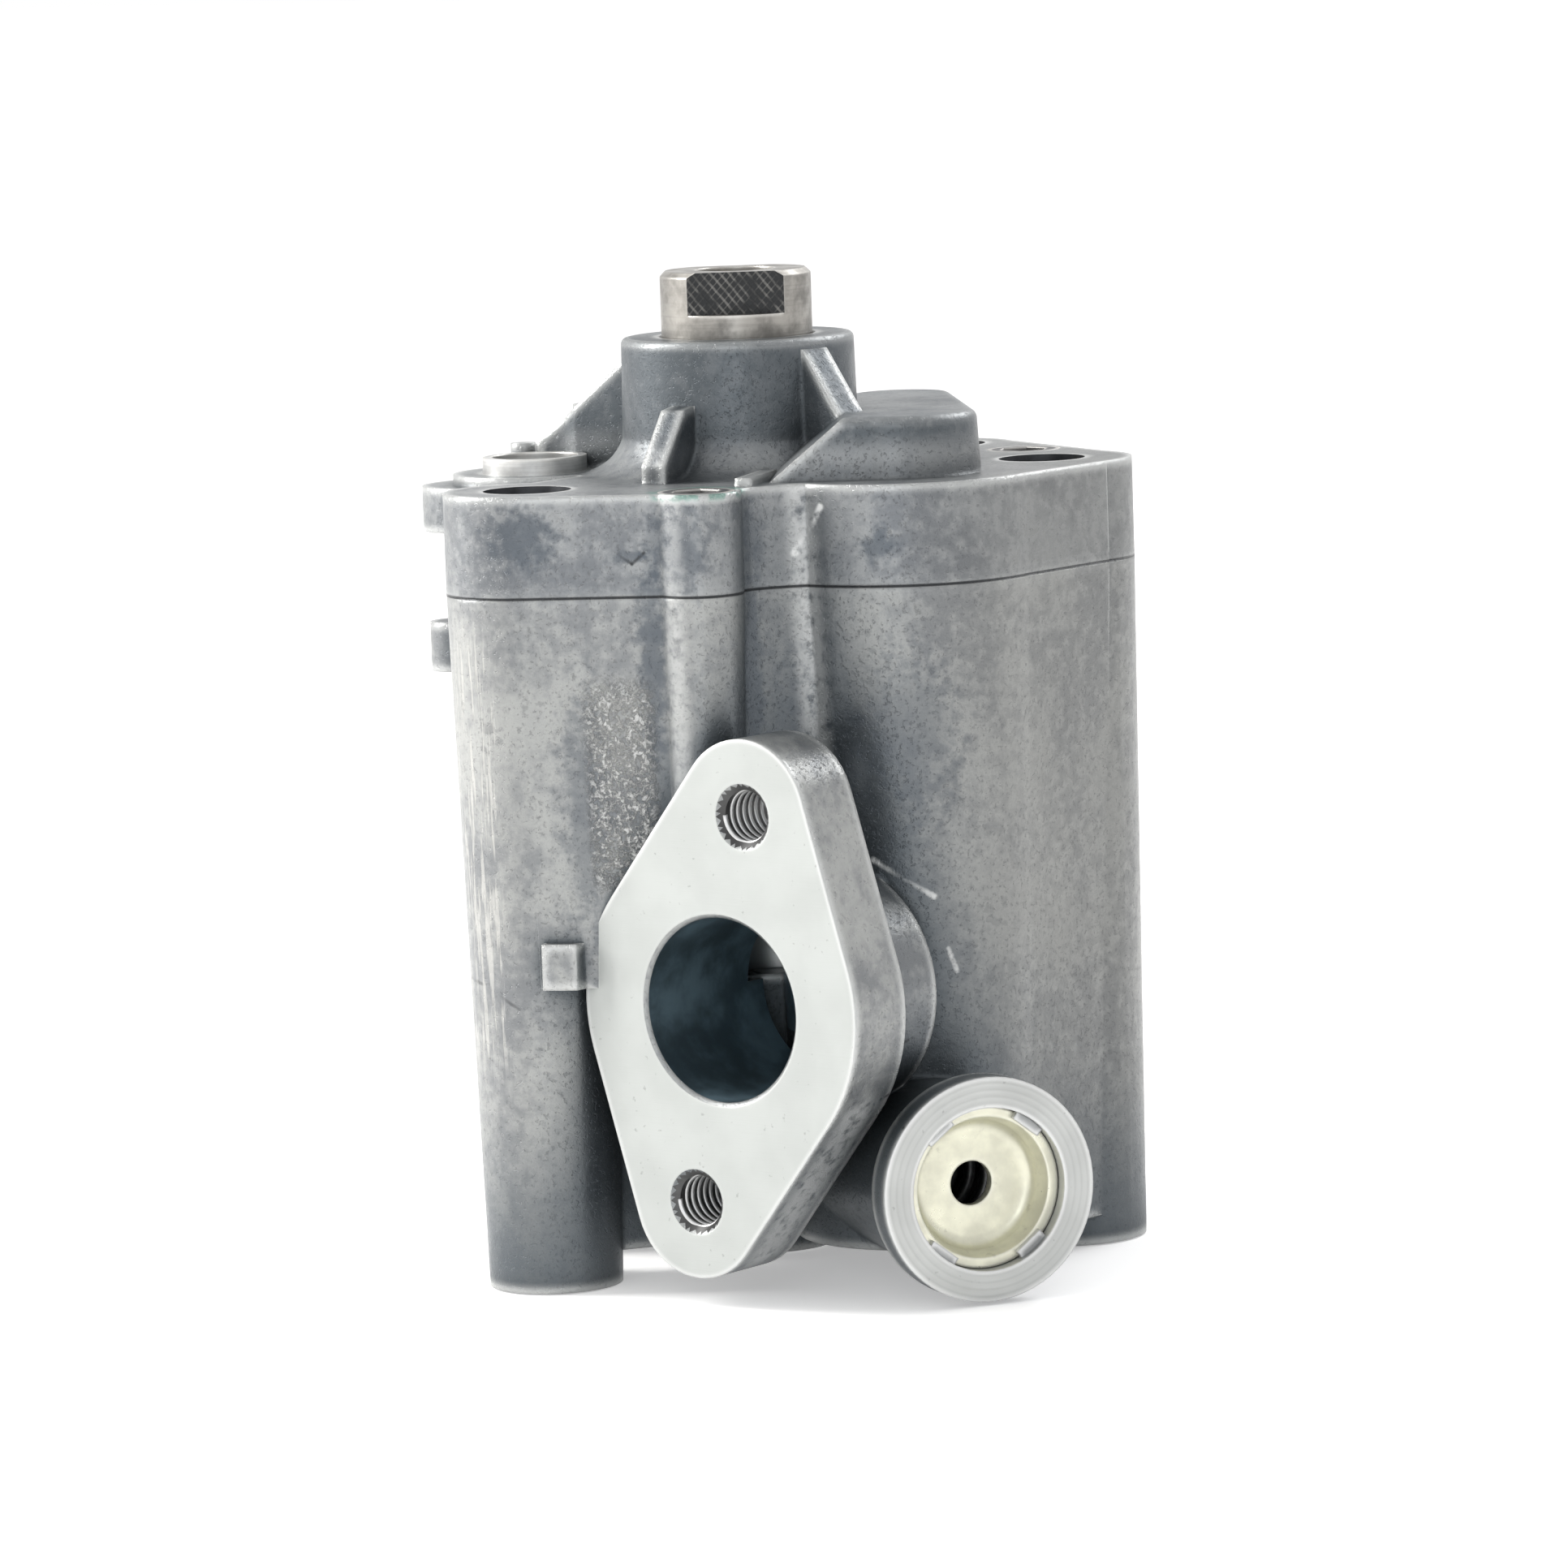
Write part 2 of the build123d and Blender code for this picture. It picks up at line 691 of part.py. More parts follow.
relief_axis = Axis(relief_plane(0).origin, facing(relief_bearing))
relief_section = Plane(
    origin=relief_plane(0).origin,
    x_dir=facing(relief_bearing),
    z_dir=facing(relief_bearing - 90.0),
)
cup_bottom_depth = cup_floor_depth + cup_wall
spring_start_depth = cup_bottom_depth + shim_t
spring_end_depth = relief_depth - piston_floor

with BuildPart() as relief_piston:
    disc((0, 0), relief_bore_r - piston_gap, relief_plane(relief_depth), piston_l)
    chamfer(relief_piston.edges().filter_by(GeomType.CIRCLE), length=edge_break)
    bore((0, 0), relief_bore_r - piston_wall, relief_plane(relief_depth - piston_l), piston_l - piston_floor)

relief_piston.part.label = "relief_piston"
export_step(relief_piston.part, "parts/relief_piston.step")

with BuildPart() as relief_spring:
    coil_l = spring_end_depth - spring_start_depth - 2 * spring_wire_r
    coil_start = relief_plane(spring_end_depth - spring_wire_r).origin
    with BuildLine() as coil:
        pitch = coil_l / spring_turns
        Helix(pitch, coil_l, spring_coil_r, center=coil_start, direction=facing(relief_bearing))
    with BuildSketch(Plane(origin=coil.line @ 0, z_dir=coil.line % 0)):
        RegularPolygon(spring_wire_r, 6)
    sweep(path=coil.line, is_frenet=True)

relief_spring.part.label = "relief_spring"
export_step(relief_spring.part, "parts/relief_spring.step")

with BuildPart() as relief_shim:
    disc((0, 0), shim_r, relief_plane(spring_start_depth), shim_t)
    bore((0, 0), shim_hole_r, relief_plane(cup_bottom_depth), shim_t)

relief_shim.part.label = "relief_shim"
export_step(relief_shim.part, "parts/relief_shim.step")

with BuildPart() as relief_spring_cup:
    # Pressed cup, turned about the relief axis: rim outwards, floor inwards with a centre hole
    with BuildSketch(relief_section):
        with BuildLine():
            skirt = Line((-cup_bottom_depth, cup_skirt_r), (-cup_skirt_depth, cup_skirt_r))
            rim = Polyline(skirt @ 1, (-cup_rim_depth, cup_rim_r), (-cup_recess, cup_rim_r))
            neck = (-cup_neck[0], cup_neck[1])
            Polyline(rim @ 1, (-cup_recess, cup_mouth_r), neck)
            dish = ThreePointArc(neck, (-cup_bend[0], cup_bend[1]), (-cup_floor_depth, cup_dish_r))
            Polyline(dish @ 1, (-cup_floor_depth, cup_hole_r), (-cup_bottom_depth, cup_hole_r), skirt @ 0)
        make_face()
    revolve(axis=relief_axis)

relief_spring_cup.part.label = "relief_spring_cup"
export_step(relief_spring_cup.part, "parts/relief_spring_cup.step")
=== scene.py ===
# %% [markdown]
# # An engine oil pump in worn die-cast aluminium
#
# The solids of the pump come from its CAD frame: body, cover, shafts, gears, bushes, sleeve, screws and
# relief valve. This scene gives them their surfaces and adds the small forms that a tap and a spring winder
# leave. Everything stands in the frame's own metres: Z up the drive shaft, the suction flange facing -Y.

from math import cos, pi, radians, sin

import bmesh
import bpy
from mathutils import Matrix, Vector


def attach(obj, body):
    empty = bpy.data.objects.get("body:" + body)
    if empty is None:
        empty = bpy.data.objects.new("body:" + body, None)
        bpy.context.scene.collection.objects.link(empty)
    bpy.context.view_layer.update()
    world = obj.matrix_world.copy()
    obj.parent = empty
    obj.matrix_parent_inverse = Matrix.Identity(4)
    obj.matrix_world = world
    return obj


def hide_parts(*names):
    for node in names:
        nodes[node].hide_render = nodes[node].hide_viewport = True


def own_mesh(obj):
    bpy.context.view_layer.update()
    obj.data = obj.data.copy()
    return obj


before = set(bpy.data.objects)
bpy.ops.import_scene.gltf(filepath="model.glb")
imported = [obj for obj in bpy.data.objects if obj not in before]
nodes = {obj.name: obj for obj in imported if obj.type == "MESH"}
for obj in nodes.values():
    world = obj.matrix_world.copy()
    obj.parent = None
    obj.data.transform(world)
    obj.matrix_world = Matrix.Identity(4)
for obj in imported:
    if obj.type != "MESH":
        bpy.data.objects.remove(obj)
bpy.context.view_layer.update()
MM = 0.001

# %% [markdown]
# ## A short way to write shader maths
#
# Most of the look is arithmetic on the position of a point: a stain where two noises meet, a bright edge
# near a height. Written as nodes and links, each sum takes four lines. A small class that stands for one
# socket and knows plus, minus and times keeps the sums readable, and one method makes every other node.

# %% Shader helper
class Sock:
    """One shader value: knows arithmetic, and makes further nodes in the same tree."""

    def __init__(self, tree, socket=None):
        self.tree = tree
        self.socket = socket

    def node(self, kind, out=0, inputs=(), **settings):
        """Adds a node of a kind, sets it up and returns one of its outputs."""
        made = self.tree.nodes.new(kind)
        for key, value in settings.items():
            setattr(made, key, value)
        for key, value in dict(inputs).items():
            if isinstance(value, Sock):
                self.tree.links.new(value.socket, made.inputs[key])
            else:
                made.inputs[key].default_value = value
        return Sock(self.tree, made.outputs[out])

    def also(self, out):
        """Another output of the node that this value comes from."""
        return Sock(self.tree, self.socket.node.outputs[out])

    def math(self, operation, *others, clamp=False):
        """A Math node with this value first."""
        inputs = dict(enumerate((self, *others)))
        return self.node("ShaderNodeMath", operation=operation, use_clamp=clamp, inputs=inputs)

    def __add__(self, other):
        return self.math("ADD", other)

    def __sub__(self, other):
        return self.math("SUBTRACT", other)

    def __mul__(self, other):
        return self.math("MULTIPLY", other)

    def __neg__(self):
        return self.math("MULTIPLY", -1.0)

    def __rsub__(self, other):
        return (-self).math("ADD", other)

    __radd__ = __add__
    __rmul__ = __mul__

    def near(self, middle, out, full):
        """1 where the value is close to a middle: full inside one distance, nothing past another."""
        return (self - middle).math("ABSOLUTE").ramp(out, full)

    def ramp(self, low, high, start=0.0, end=1.0):
        """Runs from start to end while the value runs from low to high."""
        inputs = {"Value": self, "From Min": low, "From Max": high, "To Min": start, "To Max": end}
        return self.node("ShaderNodeMapRange", interpolation_type="SMOOTHSTEP", inputs=inputs)

    def mix(self, first, second):
        """Colour mix with this value as the factor."""
        factor_slot, first_slot, second_slot, colour_out = 0, 6, 7, 2
        ends = [value if isinstance(value, Sock) else (*value, 1.0) for value in (first, second)]
        inputs = {factor_slot: self, first_slot: ends[0], second_slot: ends[1]}
        return self.node("ShaderNodeMix", colour_out, data_type="RGBA", inputs=inputs)


def new_material(name):
    """An empty material: returns it with its tree, its surface shader and the point in object space."""
    material = bpy.data.materials.new(name)
    material.use_nodes = True
    tree = material.node_tree
    point = Sock(tree).node("ShaderNodeTexCoord", "Object")
    return material, tree, tree.nodes["Principled BSDF"], point


def connect(tree, shader, **links):
    """Links sockets or sets plain values on the surface shader."""
    for name, value in links.items():
        target = shader.inputs[name.replace("_", " ")]
        if isinstance(value, Sock):
            tree.links.new(value.socket, target)
        else:
            target.default_value = value


def noise(point, scale, detail=4.0, rough=0.55, stretch=None):
    """Fractal noise from 0 to 1; stretch scales the point first, to draw it out along an axis."""
    if stretch:
        point = point.node("ShaderNodeMapping", inputs={"Vector": point, "Scale": stretch})
    inputs = {"Vector": point, "Scale": scale, "Detail": detail, "Roughness": rough}
    return point.node("ShaderNodeTexNoise", inputs=inputs)


def xyz(point):
    """The three coordinates of a point."""
    x = point.node("ShaderNodeSeparateXYZ", inputs={"Vector": point})
    return x, x.also(1), x.also(2)


def bump(height, strength, distance, rounded=None):
    """A normal that follows a height, in metres; rounded is a normal to start from."""
    inputs = {"Height": height, "Strength": strength, "Distance": distance}
    if rounded:
        inputs["Normal"] = rounded
    return height.node("ShaderNodeBump", inputs=inputs)


print("Shader helpers are ready")

# %% [markdown]
# ## Where things are on the castings
#
# The materials need to know places: the flange face, the relief valve's axis, the bolt holes. They come
# from the same driving sizes as the solids. A point on the casting can be classed by its distance from an
# axis, so one small function gives that distance, both for picking faces here and for masks inside a
# shader.

# %% Places, in millimetres
FLANGE = Vector((25.2, -40.5, 38.9))
FLANGE_OUT = Vector((0, -1, 0))
FLANGE_UP = Vector((sin(radians(10.8)), 0.0, cos(radians(10.8))))
THREAD_OFFSET = 25.75
THREADS = [FLANGE + FLANGE_UP * THREAD_OFFSET, FLANGE - FLANGE_UP * THREAD_OFFSET]
RELIEF_END = Vector((53.5, -21.7, 14.9))
RELIEF_WAY = Vector((cos(radians(-30)), sin(radians(-30)), 0.0))
OUTLET = Vector((22.6, 43.4, 66.0))
OUTLET_WAY = Vector((cos(radians(68)), sin(radians(68)), 0.0))
UPRIGHT = (0.0, 0.0, 1.0)
SLEEVE = (-25.0, -13.0)
BOLTS = [(-7.0, -36.4), SLEEVE, (4.5, 39.0), (32.0, 24.0)]
FRONT_SCREW = (16.8, -31.0)
IDLER_X = 26.0
JOINT_Z = 91.5
COVER_Z = 104.7
FLAT_WAY = Vector((sin(radians(38)), -cos(radians(38)), 0.0))
FLAT_HALF = 7.75
# The way from left to right across the pump's front
ACROSS = (0.788, 0.616)


def off_axis(point, origin, way):
    """Distance of a point from an axis, and how far along the axis it lies."""
    rel = point - origin
    along = rel.dot(way)
    return (rel - way * along).length, along


def vector_math(operation, first, second, out=0):
    """A Vector Math node; its output 0 is a vector and its output 1 a number."""
    return first.node("ShaderNodeVectorMath", out, operation=operation, inputs={0: first, 1: second})


def shade_off_axis(point, origin, way):
    """The same distance inside a shader, in millimetres."""
    rel = vector_math("SUBTRACT", point, tuple(origin))
    along = vector_math("DOT_PRODUCT", rel, tuple(way), 1)
    square = vector_math("DOT_PRODUCT", rel, rel, 1)
    return (square - along * along).math("MAXIMUM", 0.0).math("SQRT"), along


def scaled(vector, scale):
    """A vector, or a plain one in a tuple, times a number or a value."""
    maker = scale if isinstance(scale, Sock) else vector
    return maker.node("ShaderNodeVectorMath", operation="SCALE", inputs={0: vector, "Scale": scale})


def to_the_right(x, y):
    """How far to the right across the pump's front a point lies."""
    return x * ACROSS[0] + y * ACROSS[1]


print("Upper and lower flange threads at", [tuple(round(v, 2) for v in place) for place in THREADS])

# %% [markdown]
# ## Marks that a life in the engine leaves, and painted shade and highlights
#
# Oil dries in cloudy spots, tools slip and leave bright scratches, and the casting shows fine dark seams
# where its mould closed. A random pattern would put them anywhere. They are tables instead: each row is one
# mark at its own place in millimetres, and the cast material below walks through them. A few rows are
# painted light instead of marks: painted shade in valleys and painted highlights on rounded shoulders.

# %% Tables of marks
# Dark stains, and three rows of painted valley shade: place, radius, how tall against its width, and depth
STAINS_AND_VALLEY_SHADE = [
    ((-0.9, -45.6, 99.3), 6.5, 0.9, 0.75),
    ((34.8, -16.2, 96.8), 3.4, 0.9, 0.75),
    ((11.4, -38.4, 96.6), 3.4, 0.35, 0.65),
    ((37.2, -14.1, 71.7), 9.0, 1.6, 0.45),
    ((23.0, -20.4, 74.0), 5.0, 2.0, 0.35),
    ((5.0, -41.4, 64.0), 4.6, 4.6, 0.50),
    # These three rows are painted shade, in the valleys beside the front columns and beside the flange's
    # foot
    ((9.2, -38.0, 27.8), 7.0, 3.0, 0.70),
    ((13.4, -37.0, 84.0), 2.6, 7.0, 0.75),
    ((20.6, -25.4, 80.0), 2.4, 9.0, 0.65),
    ((14.1, -36.9, 98.0), 2.2, 3.0, 0.45),
    ((20.8, -24.6, 98.0), 2.4, 3.0, 0.45),
    ((18.2, -36.4, 98.0), 5.5, 1.5, 0.60),
]
# Bright scratches, and three rows of painted highlight: both ends, half width and depth
SCRATCHES_AND_HIGHLIGHTS = [
    ((27.2, -18.5, 101.8), (23.7, -19.6, 95.8), 0.75, 0.85),
    # These three rows are painted highlights: along the fillet where the body bulges, and down the shoulders
    # of the cover lobe and the front screw column
    ((32.4, -16.4, 55.8), (38.7, -11.9, 50.8), 0.60, 0.75),
    ((24.4, -18.8, 104.0), (25.6, -17.4, 55.0), 3.2, 0.40),
    ((17.2, -36.6, 104.0), (17.0, -36.2, 60.0), 2.2, 0.25),
    ((42.4, -35.5, 25.2), (28.2, -35.5, 7.4), 6.0, 0.45),
    ((39.6, -10.4, 43.8), (40.4, -9.6, 40.8), 0.50, 0.60),
]
# Fine dark cracks and seams: both ends, half width and depth
CRACKS = [
    ((40.6, -21.1, 33.4), (43.4, -27.0, 30.6), 0.45, 0.80),
    ((43.4, -27.0, 30.6), (44.4, -31.6, 27.0), 0.40, 0.80),
    ((44.0, -31.6, 27.5), (48.1, -31.2, 23.0), 0.35, 0.70),
    ((-14.6, -42.9, 41.4), (-8.5, -46.8, 40.6), 0.40, 0.55),
    ((-8.5, -46.8, 40.6), (-3.9, -45.8, 37.8), 0.40, 0.55),
    ((8.6, -39.6, 98.2), (11.6, -38.2, 95.8), 0.35, 0.75),
    ((11.6, -38.2, 95.8), (13.0, -37.4, 97.2), 0.35, 0.75),
]
print("Marks:", len(STAINS_AND_VALLEY_SHADE), "stains,", len(SCRATCHES_AND_HIGHLIGHTS), "scratches,", len(CRACKS), "cracks")

# %% [markdown]
# ## Masks for edges and marks
#
# Convex edges are painted bright, partly as wear where they were handled and partly as a painted highlight,
# and inner corners get painted shade. Ambient occlusion finds both: looked at from outside it is low in an
# inner corner, and from inside the metal it is low at a convex edge.
# The Bevel node rounds every edge a little, as a mould does. Painting masks by hand would look as good, but
# would have to be done again after each change of the solids.

# %% Mask helpers
SHADE_SAMPLES = 6


def openness(point, distance, inside=False):
    """How open the surface is within a distance in metres, from 0 to 1; inside looks into the metal."""
    inputs = {"Distance": distance}
    return point.node("ShaderNodeAmbientOcclusion", 1, samples=SHADE_SAMPLES, inside=inside, inputs=inputs)


# Bright convex edges: partly wear, partly a painted highlight
def worn_and_highlit_edges(point, radius):
    """1 at a convex edge of about this radius."""
    return openness(point, radius * 1.6, inside=True).ramp(0.93, 0.62)


# Painted shade for inner corners
def shaded_corners(point, radius):
    """1 in an inner corner."""
    return openness(point, radius * 6).ramp(0.82, 0.40)


def rounded_edges(point, radius):
    """A normal that rounds the edges."""
    return point.node("ShaderNodeBevel", samples=SHADE_SAMPLES, inputs={"Radius": radius})


def spot(mm, ragged, place, radius, tall):
    """1 at a place, fading to 0 at a radius, with a ragged outline; tall stretches it upright."""
    away = vector_math("MULTIPLY", vector_math("SUBTRACT", mm, place), (1.0, 1.0, 1.0 / tall))
    length = away.node("ShaderNodeVectorMath", 1, operation="LENGTH", inputs={0: away})
    return (length + (ragged - 0.5) * (radius * 1.6)).ramp(radius, radius * 0.35)


def scratch(mm, start, end, half):
    """1 along a straight line between two places, fading out at half its width."""
    line = Vector(end) - Vector(start)
    rel = vector_math("SUBTRACT", mm, start)
    along = vector_math("DOT_PRODUCT", rel, tuple(line / line.length_squared), 1)
    nearest = scaled(tuple(line), along.math("MULTIPLY", 1.0, clamp=True))
    return vector_math("DISTANCE", rel, nearest, 1).ramp(half, half * 0.2)


print("Mask helpers are ready, with", SHADE_SAMPLES, "samples each")

# %% [markdown]
# ## Die-cast aluminium
#
# Cast aluminium is grey rather than silver: its skin is fine and dull, with cloudy stains where oil has
# dried. The hollows and valleys get painted shade, darker and bluer, the right side of the pump painted
# shade, the boss on the cover a painted dark reflection, and the convex edges a bright line that is partly
# wear and partly painted highlight. Two noises of different size make the clouds and a third the grain.
# The colours are laid one over the other, from the widest cloud to the finest scratch, so that each later
# mark covers the earlier ones as it does on the metal.

# %% Cast aluminium
CLEAR_CAST = (0.385, 0.39, 0.38)
STAINED_CAST = (0.205, 0.213, 0.22)
CLEAR_COVER = (0.315, 0.325, 0.33)
STAINED_COVER = (0.16, 0.17, 0.182)
DRY_OIL_AND_VALLEY_SHADE = (0.085, 0.10, 0.118)
BLOT = (0.085, 0.092, 0.10)
SHADED_RIGHT_SIDE = (0.15, 0.15, 0.142)
BRIGHT_GRAIN = (0.46, 0.465, 0.45)
PORE = (0.10, 0.105, 0.11)
VALLEY_SHADE = (0.075, 0.090, 0.103)
DARK_BOSS_REFLECTION = (0.080, 0.093, 0.104)
CORNER_SHADE = (0.045, 0.053, 0.058)
WORN_AND_HIGHLIT_EDGE = (0.66, 0.67, 0.66)
SCRATCH_AND_HIGHLIGHT = (0.86, 0.87, 0.86)
CRACK = (0.02, 0.022, 0.025)
DRAG_MARK = (0.60, 0.59, 0.56)
PITTED = (0.62, 0.62, 0.61)
THREAD_LOCK = (0.05, 0.24, 0.18)
# Metres: how round the cast edges are, and how wide a valley still gets painted shade
CAST_EDGE = 0.0010
VALLEY_WIDTH = 0.030


def cast_skin(name, clear, stain, metal=0.60, paint_boss_reflection=False):
    """Die-cast skin with every cloud and mark; the boss flag paints a dark reflection on what stands above
    the cover's face.
    """
    material, tree, shader, point = new_material(name)
    mm = scaled(point, 1 / MM)
    x, y, z = xyz(mm)
    across = to_the_right(x, y)
    clouds = noise(mm, 0.055, 5.0, 0.60)
    drawn = noise(mm, 0.11, 5.0, 0.6, stretch=(1.0, 1.0, 0.30))
    fine = noise(mm, 0.55, 5.0, 0.62)
    grain = noise(mm, 3.2, 3.0, 0.6)
    pores = noise(mm, 1.7, 3.0, 0.7)
    corner = shaded_corners(point, CAST_EDGE)
    # Painted shade: how far into a wide valley a point lies
    valley_shade = openness(point, VALLEY_WIDTH).ramp(0.985, 0.60)
    # The machined joint gets no bright edge
    convex = worn_and_highlit_edges(point, CAST_EDGE) * (1.0 - z.near(JOINT_Z, 1.6, 0.9) * 0.85)
    # On the cover, the painted valley shade is weaker from just under its top face upwards
    if paint_boss_reflection:
        valley_shade = valley_shade * z.ramp(COVER_Z - 3.7, COVER_Z - 0.7, 1.0, 0.35)

    # Soft clouds of stain, drawn out down the mould, with small darker blots; painted shade, darker and
    # bluer, in the valleys
    cloudy = (clouds * 0.5 + drawn * 0.25 + fine * 0.25).ramp(0.40, 0.60)
    blots = (clouds * 0.35 + fine * 0.65).ramp(0.56, 0.66)
    colour = cloudy.mix(stain, clear)
    colour = (blots * 0.48).mix(colour, BLOT)
    # Painted shade: the right side of the pump, away from the key light, is darker
    colour = (across.ramp(18.0, 40.0) * 0.52).mix(colour, SHADED_RIGHT_SIDE)
    colour = (fine.ramp(0.45, 0.75) * 0.20).mix(colour, BRIGHT_GRAIN)
    colour = (pores.ramp(0.58, 0.66) * 0.35).mix(colour, PORE)
    # Painted shade in the valleys, darker and bluer
    colour = (valley_shade * 0.90).mix(colour, VALLEY_SHADE)
    # Painted dark reflection on the smooth boss above the cover's face, in patches
    if paint_boss_reflection:
        patchy = (clouds * 0.4 + fine * 0.6).ramp(0.38, 0.56, 0.55, 0.95)
        colour = (z.ramp(COVER_Z + 2.8, COVER_Z + 6.3) * patchy).mix(colour, DARK_BOSS_REFLECTION)
    # Dark stains of dried oil, and a few spots of painted valley shade
    for place, radius, tall, depth in STAINS_AND_VALLEY_SHADE:
        colour = (spot(mm, fine, place, radius, tall) * depth).mix(colour, DRY_OIL_AND_VALLEY_SHADE)
    # Painted shade in the inner corners
    colour = (corner * 0.75).mix(colour, CORNER_SHADE)
    # Convex edges painted bright: partly wear, partly a painted highlight
    colour = (convex * 0.70).mix(colour, WORN_AND_HIGHLIT_EDGE)

    # Scratches shine less like metal than the skin, as their torn floor scatters light; the painted
    # highlights in the same table get the same
    scratch_and_highlight = fine * 0.0
    for start, end, half, depth in SCRATCHES_AND_HIGHLIGHTS:
        mark = scratch(mm, start, end, half) * fine.ramp(0.25, 0.55) * depth
        colour = mark.mix(colour, SCRATCH_AND_HIGHLIGHT)
        scratch_and_highlight = scratch_and_highlight.math("MAXIMUM", mark)
    for start, end, half, depth in CRACKS:
        mark = scratch(mm, start, end, half) * fine.ramp(0.25, 0.50) * depth
        colour = mark.mix(colour, CRACK)

    # Bright drag marks that the mould left down the two outer columns
    band = across.near(-35.6, 3.4, 1.8) * z.near(58.0, 32.0, 24.0)
    drags = noise(mm, 1.5, 3.0, 0.6, stretch=(1.0, 1.0, 0.055)).ramp(0.50, 0.60) * band
    colour = (drags * 0.45).mix(colour, DRAG_MARK)

    # The thin dark line of the joint, and the rough pitted patch on the front wall
    colour = (z.near(JOINT_Z, 0.26, 0.10) * 0.9).mix(colour, CRACK)
    patch = x.near(9.3, 4.6, 2.6) * z.near(67.0, 15.0, 10.0) * y.ramp(-34.0, -36.0)
    pits = noise(mm, 1.3, 5.0, 0.8).ramp(0.44, 0.58)
    colour = (patch * pits * 0.7).mix(colour, PITTED)

    # Green thread lock round the front cover screw
    ring, along = shade_off_axis(mm, (*FRONT_SCREW, COVER_Z), UPRIGHT)
    lock = ring.near(5.6, 1.3, 0.3) * fine.ramp(0.42, 0.58) * along.ramp(-1.2, -0.3)
    colour = (lock * 0.6).mix(colour, THREAD_LOCK)

    raised = grain * 0.30 + fine * 0.9 + patch * pits * 3.0
    height = raised - pores.ramp(0.56, 0.66) * 0.4 - blots * 0.3 - drags * 0.4
    rough = clouds.ramp(0.3, 0.7, 0.30, 0.45) - convex * 0.08
    dent = bump(height, 0.75, 0.00014, rounded_edges(point, CAST_EDGE))
    connect(tree, shader, Base_Color=colour, Roughness=rough, Metallic=metal - scratch_and_highlight * 0.5, Normal=dent)
    return material


cast = cast_skin("cast_aluminium_skin", CLEAR_CAST, STAINED_CAST)
cast_cover = cast_skin("cast_aluminium_cover", CLEAR_COVER, STAINED_COVER, paint_boss_reflection=True)
print("Cast skins:", cast.name, "and", cast_cover.name)

# %% [markdown]
# ## Cut and bored aluminium
#
# Where a cutter has passed, the metal is paler and smoother: milled flat on the suction flange, turned in
# rings on the end of the relief tube, drilled in the holes. Deep holes look dark from the shade inside them,
# so their walls get a dark colour of their own, painted shade, with a patch of brown varnish.

# %% Machined and bored surfaces
CUT_EDGE = 0.0005


def darker(colour, share):
    """The same colour with less light, or more where the share is over 1."""
    return tuple(value * share for value in colour)


def machined(name, colour, centre=None, way=None, ring_scale=1.0, rough=0.34, metal=0.75):
    """A cut face: pale and smooth, with rings of the tool about an axis when one is given."""
    material, tree, shader, point = new_material(name)
    mm = scaled(point, 1 / MM)
    soft = noise(mm, 0.12, 3.0, 0.5)
    shaded = (soft.ramp(0.3, 0.7) * 0.35).mix(colour, darker(colour, 0.80))
    shaded = (noise(mm, 1.1, 2.0, 0.5).ramp(0.70, 0.76) * 0.5).mix(shaded, (0.25, 0.25, 0.25))
    if centre is None:
        lay = noise(mm, 0.8, 3.0, 0.6, stretch=(0.15, 1.0, 6.0))
    else:
        away, along = shade_off_axis(mm, centre, way)
        lay = (away * (ring_scale * 2 * pi)).math("SINE") * 0.5 + noise(mm, 0.5) * 0.5
        shaded = (lay.ramp(0.2, 1.0) * 0.25).mix(shaded, darker(colour, 0.55))
    # Painted shade in the inner corners
    shaded = (shaded_corners(point, CUT_EDGE) * 0.6).mix(shaded, (0.10, 0.105, 0.11))
    # Convex edges painted bright: partly wear, partly a painted highlight
    shaded = (worn_and_highlit_edges(point, CUT_EDGE) * 0.5).mix(shaded, (0.9, 0.9, 0.9))
    gloss = soft.ramp(0.3, 0.7, rough, rough + 0.1)
    dent = bump(lay, 0.35, 0.00004, rounded_edges(point, CUT_EDGE))
    connect(tree, shader, Base_Color=shaded, Roughness=gloss, Metallic=metal, Normal=dent)
    return material


def bored(name, colour, varnish, metal=0.6):
    """The wall of a deep hole: dark with painted shade, cloudy, and a patch of brown varnish to the right.
    """
    material, tree, shader, point = new_material(name)
    mm = scaled(point, 1 / MM)
    x = xyz(mm)[0]
    oil = noise(mm, 0.14, 5.0, 0.6)
    brown = noise(mm, 0.35, 5.0, 0.7).ramp(0.46, 0.64) * x.ramp(27.0, 33.0)
    shaded = oil.ramp(0.35, 0.7).mix(colour, darker(colour, 2.2))
    shaded = (brown * 0.8).mix(shaded, varnish)
    gloss = oil.ramp(0.3, 0.7, 0.30, 0.48)
    dent = bump(oil + noise(mm, 1.4) * 0.3, 0.4, 0.0001)
    connect(tree, shader, Base_Color=shaded, Roughness=gloss, Metallic=metal, Normal=dent)
    return material


flange_cut = machined("milled_flange_face", (0.50, 0.52, 0.505), metal=0.35, rough=0.45)
collar_cut = machined("turned_collar_face", (0.49, 0.50, 0.49), RELIEF_END, RELIEF_WAY, ring_scale=1.1)
plain_cut = machined("drilled_aluminium", (0.42, 0.43, 0.43))
# The dark walls of the suction port, the threads and the bolt holes are painted shade
port_wall = bored("shaded_suction_port", (0.085, 0.125, 0.150), (0.32, 0.24, 0.13))
thread_wall = bored("dark_thread_wall", (0.055, 0.055, 0.055), (0.10, 0.10, 0.10))
hole_wall = bored("dark_bolt_hole", (0.05, 0.052, 0.056), (0.08, 0.078, 0.07))
print("Cut surfaces:", flange_cut.name, collar_cut.name, plain_cut.name)

